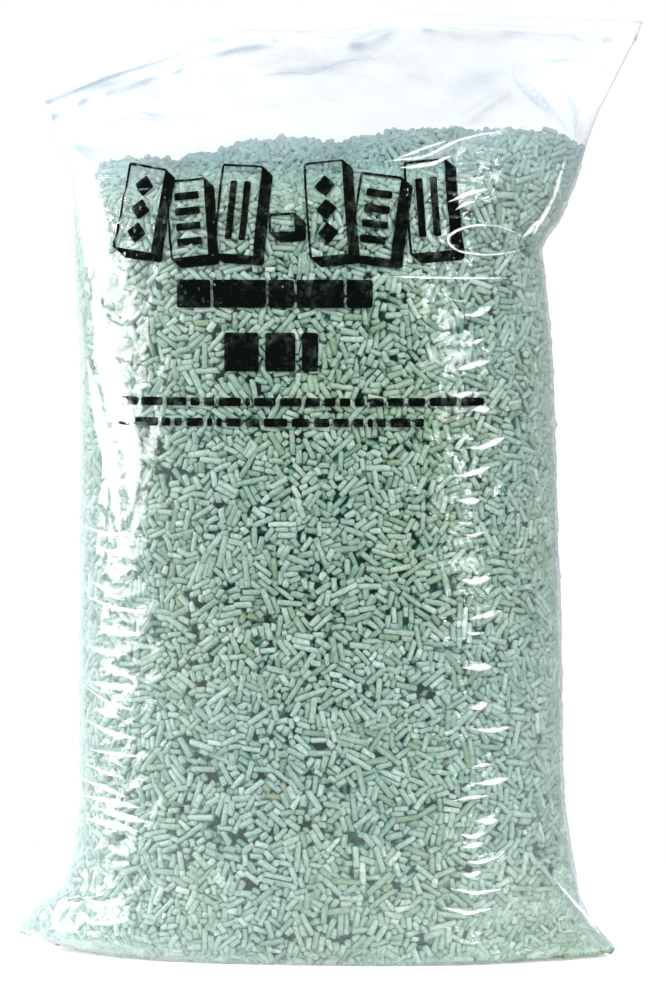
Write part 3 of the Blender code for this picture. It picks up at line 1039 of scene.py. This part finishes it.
def print_shapes():
    """The front's print: leaning outlined blocks with fills and drop shadows, bars, and dashes."""
    shapes = []
    for x, z, width, height, lean, marks in BLOCKS:
        outline = rounded_block(x, z, width, height, lean, BLOCK_CORNER)
        shapes.append(drop_shadow(outline, BLOCK_SHADOW))
        shapes.append(inked(outline, shrunk(outline, BLOCK_LINE)))
        for over, up, mark_width, mark_height, turn in marks:
            spot = leant(x, z, over, up, lean)
            mark = rounded_block(*spot, mark_width, mark_height, lean + turn, 0.0015)
            shapes.append(inked(mark))
    for x, z, height, gap, widths in BAR_ROWS:
        for width in widths:
            shapes.append(inked(rounded_block(x + width / 2, z, width, height, 0, 0.002)))
            x += width + gap
    draws = np.random.default_rng(7)
    for x, stop, z in DASH_ROWS:
        while x < stop:
            width = draws.uniform(*DASH_WIDTHS)
            shapes.append(inked(rounded_block(x + width / 2, z, width, DASH_HEIGHT, 0, 0.0018)))
            x += width + DASH_GAP
    return shapes


def on_front(flat, out):
    """Lays points given as x and z on the front film, moved out by a distance."""
    level = level_of(flat[:, 0], flat[:, 1])
    left, right, _, fullness, _ = section_at(level)
    share = np.clip((flat[:, 0] - (right - left) / 2) / ((right + left) / 2), -0.999, 0.999)
    turn = np.arccos(np.sign(share) * np.abs(share) ** (fullness / 2))
    return film_surface(turn, level, out)


def print_mesh():
    """All inked shapes cut into small faces and laid on the outer side of the film."""
    joined = bmesh.new()
    for shape in print_shapes():
        data = bpy.data.meshes.new("shape")
        shape.to_mesh(data)
        shape.free()
        joined.from_mesh(data)
        bpy.data.meshes.remove(data)
    bmesh.ops.triangulate(joined, faces=[f for f in joined.faces if len(f.verts) > 4])
    for axis in (0, 2):
        spots = [v.co[axis] for v in joined.verts]
        cut = min(spots) + PRINT_CELL
        while cut < max(spots):
            place, normal = [0.0] * 3, [0.0] * 3
            place[axis], normal[axis] = cut, 1.0
            geom = joined.verts[:] + joined.edges[:] + joined.faces[:]
            bmesh.ops.bisect_plane(joined, geom=geom, plane_co=place, plane_no=normal)
            cut += PRINT_CELL
    flat = np.array([v.co.xz for v in joined.verts])
    laid = on_front(flat, PRINT_OUT)
    for vertex, spot in zip(joined.verts, laid):
        vertex.co = spot
    bmesh.ops.recalc_face_normals(joined, faces=joined.faces)
    for face in joined.faces:
        if face.normal.y > 0:
            face.normal_flip()
    data = bpy.data.meshes.new("print")
    joined.to_mesh(data)
    joined.free()
    return data


# ---------------------------------------------------------------- glints on folds

GLINT_OUT = 0.0003
GLINT_STEPS = 36
GLINT_COLUMNS = 4
FOLD_GLINTS = [  # points as x and z, then half width
    ([(0.187, 0.617), (0.176, 0.628), (0.157, 0.635), (0.135, 0.632), (0.118, 0.622),
      (0.125, 0.611), (0.153, 0.606), (0.175, 0.610), (0.188, 0.617)], 0.0013),
    ([(0.066, 0.5895), (0.110, 0.588), (0.174, 0.587)], 0.0013),
    ([(0.066, 0.686), (0.103, 0.690), (0.131, 0.705), (0.166, 0.712)], 0.0016),
    ([(0.080, 0.681), (0.108, 0.684), (0.126, 0.692)], 0.0022),
    ([(0.078, 0.688), (0.100, 0.697), (0.122, 0.704)], 0.0014),
    ([(0.122, 0.652), (0.140, 0.660), (0.158, 0.664)], 0.0024),
    ([(0.128, 0.645), (0.136, 0.651), (0.146, 0.653)], 0.0018),
    ([(0.215, 0.690), (0.206, 0.660), (0.192, 0.632), (0.186, 0.622)], 0.0022),
    ([(0.196, 0.640), (0.186, 0.628), (0.178, 0.622)], 0.0020),
    ([(-0.216, 0.688), (-0.214, 0.650), (-0.212, 0.605)], 0.0014),
    ([(-0.208, 0.684), (-0.190, 0.660), (-0.176, 0.640), (-0.170, 0.610)], 0.0015),
    ([(-0.203, 0.694), (-0.194, 0.655), (-0.188, 0.618), (-0.191, 0.585)], 0.0170),
    ([(-0.180, 0.640), (-0.176, 0.612), (-0.184, 0.560)], 0.0080),
    ([(-0.188, 0.590), (-0.178, 0.525), (-0.162, 0.475), (-0.147, 0.430), (-0.151, 0.385)], 0.0140),
    ([(-0.197, 0.520), (-0.182, 0.470), (-0.168, 0.420), (-0.163, 0.365)], 0.0085),
    ([(-0.200, 0.052), (-0.180, 0.047), (-0.160, 0.049)], 0.0020),
    ([(-0.205, 0.038), (-0.185, 0.031), (-0.160, 0.034)], 0.0018),
    ([(-0.235, 0.042), (-0.222, 0.030), (-0.212, 0.018)], 0.0012),
    ([(0.118, 0.052), (0.140, 0.046), (0.162, 0.050)], 0.0022),
    ([(0.124, 0.068), (0.146, 0.063), (0.170, 0.066)], 0.0018),
    ([(0.205, 0.075), (0.222, 0.048), (0.244, 0.020)], 0.0014),
]


FOLD_SHADES = [  # painted shade lines along folds on the head, given as the glints are
    ([(-0.238, 0.738), (-0.165, 0.766), (-0.128, 0.775),
      (-0.110, 0.786), (-0.070, 0.799), (-0.040, 0.803)], 0.0022),
    ([(-0.165, 0.764), (-0.128, 0.770), (-0.106, 0.776), (-0.085, 0.778), (-0.059, 0.787)], 0.0032),
    ([(-0.118, 0.779), (-0.095, 0.790), (-0.070, 0.794), (-0.052, 0.796)], 0.0034),
    ([(-0.040, 0.806), (0.005, 0.793), (0.034, 0.797), (0.074, 0.808)], 0.0020),
    ([(0.060, 0.810), (0.074, 0.812), (0.121, 0.801), (0.174, 0.798),
      (0.214, 0.793), (0.247, 0.803), (0.277, 0.806)], 0.0024),
    ([(0.090, 0.806), (0.140, 0.805), (0.190, 0.803), (0.230, 0.800)], 0.0016),
    ([(-0.214, 0.711), (-0.183, 0.718), (-0.150, 0.726), (-0.117, 0.723), (-0.085, 0.728)], 0.0024),
    ([(-0.052, 0.757), (-0.018, 0.760), (0.013, 0.769), (0.050, 0.773)], 0.0022),
    ([(0.169, 0.772), (0.171, 0.756), (0.186, 0.740), (0.204, 0.727), (0.217, 0.711)], 0.0026),
    ([(0.214, 0.748), (0.222, 0.731), (0.2235, 0.706)], 0.0026),
    ([(0.181, 0.756), (0.197, 0.738), (0.212, 0.722)], 0.0018),
    ([(-0.220, 0.708), (-0.205, 0.697), (-0.191, 0.688), (-0.174, 0.682)], 0.0022),
    ([(-0.214, 0.702), (-0.212, 0.670), (-0.211, 0.640)], 0.0022),
    ([(-0.222, 0.712), (-0.217, 0.690), (-0.216, 0.655)], 0.0016),
    ([(0.262, 0.790), (0.247, 0.760), (0.232, 0.728)], 0.0014),
    ([(0.268, 0.798), (0.243, 0.787), (0.214, 0.780)], 0.0018),
]
SLASH_ZONES = [  # x, highest and lowest z, gap, length, slope, how far the widest place leans
    (-0.172, 0.370, 0.110, 0.016, 0.054, -0.12, 1.3),
    (0.141, 0.560, 0.310, 0.026, 0.034, 0.16, 1.9),
    (0.148, 0.300, 0.060, 0.022, 0.030, 0.10, 1.6),
]


def soft_stroke(line, half_width, lean=1.0):
    """A stroke that fades at its edges and ends: its points as x and z, triangles and strengths."""
    line = np.array(line)
    lengths = np.linalg.norm(np.diff(line, axis=0), axis=1)
    run = np.concatenate([[0], np.cumsum(lengths)]) / lengths.sum()
    share = np.linspace(0, 1, GLINT_STEPS + 1)
    bends = [np.interp(share, run, line[:, axis]) for axis in (0, 1)]
    for _ in range(6):
        for bend in bends:
            bend[1:-1] = (bend[:-2] + 2 * bend[1:-1] + bend[2:]) / 4
    middle = np.stack(bends, 1)
    way = np.gradient(middle, axis=0)
    way /= np.linalg.norm(way, axis=1, keepdims=True)
    across = np.stack([-way[:, 1], way[:, 0]], 1)
    swell = np.sin(math.pi * share**lean) ** 0.8
    side = np.linspace(-1, 1, GLINT_COLUMNS + 1)
    spots = middle[:, None] + (half_width * swell)[:, None, None] * side[:, None] * across[:, None]
    strength = (swell**0.5)[:, None] * (1 - np.abs(side)) ** 0.7
    row, column = np.meshgrid(np.arange(GLINT_STEPS), np.arange(GLINT_COLUMNS), indexing="ij")
    corner = (row * (GLINT_COLUMNS + 1) + column).ravel()
    above = corner + GLINT_COLUMNS + 1
    faces = [(corner, corner + 1, above + 1), (corner, above + 1, above)]
    return spots.reshape(-1, 2), np.concatenate([np.stack(f, 1) for f in faces]), strength.ravel()


def side_slashes():
    """Short wedge-shaped glints stacked down the front's left and right sides."""
    draws = np.random.default_rng(17)
    strokes = []
    for x, z, lowest, gap, length, slope, lean in SLASH_ZONES:
        while z > lowest:
            reach = length * draws.uniform(0.5, 1.25) / 2
            middle = x + draws.uniform(-0.009, 0.009)
            lift = reach * (slope + draws.uniform(-0.22, 0.18))
            bend = draws.uniform(-0.005, 0.002)
            line = [(middle - reach, z - lift), (middle, z + bend), (middle + reach, z + lift)]
            strokes.append(soft_stroke(line, draws.uniform(0.0016, 0.0042), lean))
            z -= gap * draws.uniform(0.45, 1.5)
    return strokes


def stroke_mesh(name, strokes):
    """Strokes joined and laid just outside the front film."""
    counts = np.cumsum([0] + [len(stroke[0]) for stroke in strokes])
    flat = np.concatenate([stroke[0] for stroke in strokes])
    faces = np.concatenate([stroke[1] + start for stroke, start in zip(strokes, counts)])
    strength = np.concatenate([stroke[2] for stroke in strokes])
    return mesh_of(name, on_front(flat, GLINT_OUT), faces, strength=strength)


# ---------------------------------------------------------------- stage

CAMERA_AIM = Vector((0.012, 0.0, 0.4010))
CAMERA_AZIMUTH = math.radians(7.0)
CAMERA_ELEVATION = math.radians(2.4)
CAMERA_DISTANCE = 6.2
FRAME_HEIGHT = 0.853  # what the camera sees at its aim
SKY_COLOUR = (0.93, 0.97, 1.0, 1.0)
SKY_LIGHT = 0.34
FLOOR_RADIUS = 2.5
LIGHTS_AIM = Vector((0.0, 0.0, 0.40))
LIGHTS = [  # name, place, size, power, whether the film mirrors it
    ("left_window", (-2.35, -0.36, 0.70), (1.45, 1.10), 100.0, True),
    ("right_strip", (1.70, -1.60, 0.95), (0.40, 1.0), 45.0, True),
    ("front_fill", (-0.3, -2.6, 2.9), (1.6, 1.0), 122.0, False),
    ("rear_fill", (1.3, 2.7, 2.3), (1.6, 1.0), 32.0, False),
]


def add_camera():
    camera = bpy.data.cameras.new("camera")
    camera.sensor_width = 36.0
    camera.lens = camera.sensor_width * CAMERA_DISTANCE / FRAME_HEIGHT
    holder = bpy.data.objects.new("camera", camera)
    level = math.cos(CAMERA_ELEVATION)
    over, out = math.sin(CAMERA_AZIMUTH) * level, math.cos(CAMERA_AZIMUTH) * level
    back = Vector((over, -out, math.sin(CAMERA_ELEVATION)))
    holder.location = CAMERA_AIM + back * CAMERA_DISTANCE
    holder.rotation_euler = (-back).to_track_quat("-Z", "Y").to_euler()
    bpy.context.scene.collection.objects.link(holder)
    return holder


def make_sky():
    """A sky that the camera sees as white, and that lights the bag only dimly."""
    world = bpy.data.worlds.new("studio_sky")
    world.use_nodes = True
    tree = world.node_tree
    white = tree.nodes["Background"]
    white.inputs["Color"].default_value = WHITE
    dim = tree.nodes.new("ShaderNodeBackground")
    dim.inputs["Color"].default_value = SKY_COLOUR
    dim.inputs["Strength"].default_value = SKY_LIGHT
    seen = tree.nodes.new("ShaderNodeLightPath")
    mixed = tree.nodes.new("ShaderNodeMixShader")
    tree.links.new(seen.outputs["Is Camera Ray"], mixed.inputs[0])
    tree.links.new(dim.outputs[0], mixed.inputs[1])
    tree.links.new(white.outputs[0], mixed.inputs[2])
    tree.links.new(mixed.outputs[0], tree.nodes["World Output"].inputs["Surface"])
    return world


def add_light(name, place, size, power, mirrored):
    light = bpy.data.lights.new(name, "AREA")
    light.shape = "RECTANGLE"
    light.size, light.size_y = size
    light.energy = power
    holder = bpy.data.objects.new(name, light)
    holder.location = place
    way = LIGHTS_AIM - Vector(place)
    holder.rotation_euler = way.to_track_quat("-Z", "Y").to_euler()
    holder.visible_camera = False
    holder.visible_glossy = mirrored
    bpy.context.scene.collection.objects.link(holder)


# ---------------------------------------------------------------- add-on


class LitterBagSettings(bpy.types.PropertyGroup):
    """What a user would change about the bag."""

    pellet_count: bpy.props.IntProperty(
        name="Pellets", description="Pellets behind the film", default=25000, min=100
    )
    settle_rounds: bpy.props.IntProperty(
        name="Settling", description="Rounds of pushing pellets apart", default=60, min=1
    )
    film_tint: bpy.props.FloatVectorProperty(
        name="Film tint",
        description="Colour of light that has passed through the film",
        subtype="COLOR",
        default=(0.957, 0.969, 0.977),
    )
    film_haze: bpy.props.FloatProperty(
        name="Film haze", description="Share of light scattered", default=0.003, min=0, max=1
    )
    side_haze: bpy.props.FloatProperty(
        name="Side haze", description="More haze away from the middle", default=0.12, min=0, max=1
    )
    ink_colour: bpy.props.FloatVectorProperty(
        name="Ink",
        description="Colour of the print",
        subtype="COLOR",
        default=(0.002, 0.003, 0.0025),
    )


class LITTERBAG_OT_stage(bpy.types.Operator):
    """Makes the camera, floor, sky and lights"""

    bl_idname = "litterbag.stage"
    bl_label = "Stage"

    def execute(self, context):
        scene = context.scene
        scene.view_settings.view_transform = "Standard"
        scene.camera = add_camera()
        scene.world = make_sky()

        mesh = bmesh.new()
        bmesh.ops.create_circle(mesh, cap_ends=True, segments=96, radius=FLOOR_RADIUS)
        data = bpy.data.meshes.new("floor")
        mesh.to_mesh(data)
        mesh.free()
        data.materials.append(floor_material())
        floor = bpy.data.objects.new("floor", data)
        scene.collection.objects.link(floor)

        for light in LIGHTS:
            add_light(*light)
        return {"FINISHED"}


class LITTERBAG_OT_film(bpy.types.Operator):
    """Makes the creased clear film"""

    bl_idname = "litterbag.film"
    bl_label = "Film"

    def execute(self, context):
        material = film_material(context.scene.litter_bag)
        add_piece("film", film_mesh(), material, ["film_bag"])
        return {"FINISHED"}


class LITTERBAG_OT_glints(bpy.types.Operator):
    """Makes the painted highlights and painted shade lines along the film's sharpest folds"""

    bl_idname = "litterbag.glints"
    bl_label = "Glints"

    def execute(self, context):
        bright = [soft_stroke(*line) for line in FOLD_GLINTS] + side_slashes()
        grey = [soft_stroke(*line) for line in FOLD_SHADES]
        add_piece("fold_glints", stroke_mesh("fold_glints", bright), glint_material())
        add_piece("fold_shades", stroke_mesh("fold_shades", grey), shade_material())
        return {"FINISHED"}


class LITTERBAG_OT_print(bpy.types.Operator):
    """Makes the print on the film's front"""

    bl_idname = "litterbag.print"
    bl_label = "Print"

    def execute(self, context):
        add_piece("print", print_mesh(), ink_material(context.scene.litter_bag))
        return {"FINISHED"}


class LITTERBAG_OT_pellets(bpy.types.Operator):
    """Makes the pellets that lie behind the film and on top of the heap"""

    bl_idname = "litterbag.pellets"
    bl_label = "Pellets"

    def execute(self, context):
        settings = context.scene.litter_bag
        draws = np.random.default_rng(55)
        ends, lengths = scattered_rods(settings.pellet_count, draws)
        ends = settle(ends, lengths, settings.settle_rounds)
        deep = depth_in(ends.mean(1)) > INNER_DEPTH
        front = ends[:, :, 1].mean(1) < FRONT_LIMIT
        tones = np.clip(draws.normal(0.52, 0.20, len(ends)), 0.07, 1.0)
        tones[draws.random(len(ends)) < BROWN_SHARE] = BROWN_TONE
        widths = PELLET_RADIUS * draws.uniform(0.88, 1.14, len(ends))
        fine = [pellet_shape(draws, 7, True) for _ in range(16)]
        plain = [pellet_shape(draws, 6, False) for _ in range(12)]
        near = np.array_split(np.flatnonzero(~deep & front), 2)
        groups = [(f"pellets_front_{k + 1}", part, fine) for k, part in enumerate(near)]
        groups.append(("pellets_back", np.flatnonzero(~deep & ~front), plain))
        far = np.array_split(np.flatnonzero(deep), 2)
        groups += [(f"pellets_inner_{k + 1}", part, plain) for k, part in enumerate(far)]
        material = pellet_material()
        hidden = ["pellet_fill"] + [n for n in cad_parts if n.startswith("loose_pellet")]
        for name, chosen, shapes in groups:
            mesh = gather_pellets(name, ends[chosen], widths[chosen], tones[chosen], shapes, draws)
            add_piece(name, mesh, material, hidden, math.radians(66))
            hidden = []
        return {"FINISHED"}


class LITTERBAG_OT_core(bpy.types.Operator):
    """Makes the mass of pellets behind the ones that show, with painted shade for its colour"""

    bl_idname = "litterbag.core"
    bl_label = "Core"

    def execute(self, context):
        add_piece("core", core_mesh(), core_shade_material())
        return {"FINISHED"}


class LITTERBAG_PT_panel(bpy.types.Panel):
    """Lists the bag's settings and pieces"""

    bl_label = "Litter bag"
    bl_idname = "LITTERBAG_PT_panel"
    bl_space_type = "VIEW_3D"
    bl_region_type = "UI"
    bl_category = "Litter bag"

    def draw(self, context):
        settings = context.scene.litter_bag
        for name in LitterBagSettings.__annotations__:
            self.layout.prop(settings, name)
        for operator in OPERATORS:
            self.layout.operator(operator.bl_idname)


OPERATORS = (
    LITTERBAG_OT_stage,
    LITTERBAG_OT_film,
    LITTERBAG_OT_glints,
    LITTERBAG_OT_print,
    LITTERBAG_OT_core,
    LITTERBAG_OT_pellets,
)
CLASSES = (LitterBagSettings, *OPERATORS, LITTERBAG_PT_panel)


def register():
    for made in CLASSES:
        bpy.utils.register_class(made)
    bpy.types.Scene.litter_bag = bpy.props.PointerProperty(type=LitterBagSettings)


def unregister():
    del bpy.types.Scene.litter_bag
    for made in reversed(CLASSES):
        bpy.utils.unregister_class(made)


def main():
    register()
    bpy.ops.litterbag.stage()
    bpy.ops.litterbag.film()
    bpy.ops.litterbag.glints()
    bpy.ops.litterbag.print()
    bpy.ops.litterbag.core()
    bpy.ops.litterbag.pellets()


if __name__ == "__main__":
    main()
